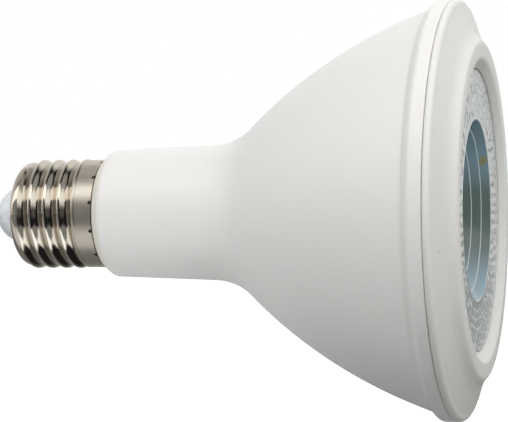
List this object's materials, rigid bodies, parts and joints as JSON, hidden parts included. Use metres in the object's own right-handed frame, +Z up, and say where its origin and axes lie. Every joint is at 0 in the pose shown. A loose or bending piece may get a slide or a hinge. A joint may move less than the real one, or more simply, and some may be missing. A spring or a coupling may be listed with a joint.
{
  "type": "par spotlight bulb",
  "caption": "LED spotlight bulb with a screw cap, a long neck that flares to a round reflector body, a clipped front ring and a clear stepped lens.",
  "frame": {"origin": "on the lamp's axis at the outer end of the centre contact, the lowest point of the screw cap", "axes": "+X runs along the lamp's axis from the cap to the front face; +Z is up, square to the driver board"},
  "size_m": [0.1199, 0.0954, 0.0954],
  "materials": {
    "nickel": "nickel plated sheet, glossy",
    "insulator_white": "glossy",
    "housing_white": "satin",
    "ring_white": "satin",
    "lens_clear": "clear acrylic, pebbled outer ring",
    "aluminium_pressed": "satin",
    "steel_zinc": "zinc plated",
    "pad_grey": "matt",
    "phosphor_yellow": "matt",
    "board_green": "solder mask",
    "ferrite_grey": "matt",
    "moulding_black": "matt",
    "tape_yellow": "glossy tape",
    "sleeve_black": "shrink sleeve",
    "film_red": "dipped",
    "fuse_beige": "lacquered",
    "lead_brown": "insulated wire",
    "lead_blue": "insulated wire",
    "lead_red": "insulated wire",
    "lead_black": "insulated wire"
  },
  "bodies": {
    "root": {"centre_contact": "nickel", "cap_insulator": "insulator_white", "cap_shell": "nickel", "housing": "housing_white", "heat_sink_cup": "aluminium_pressed", "cup_screws": "steel_zinc", "thermal_pad": "pad_grey", "led_base": "aluminium_pressed", "led_phosphor": "phosphor_yellow", "led_holder": "housing_white", "holder_screws": "steel_zinc", "front_ring": "ring_white", "lens": "lens_clear", "driver_board": "board_green", "transformer_core": "ferrite_grey", "transformer_bobbin": "moulding_black", "transformer_winding": "tape_yellow", "input_capacitor": "sleeve_black", "output_capacitor": "sleeve_black", "film_capacitor": "film_red", "bridge_rectifier": "moulding_black", "controller_chip": "moulding_black", "filter_choke": "moulding_black", "fuse_resistor": "fuse_beige", "live_lead": "lead_brown", "neutral_lead": "lead_blue", "led_lead_positive": "lead_red", "led_lead_negative": "lead_black"}
  },
  "joints": []
}
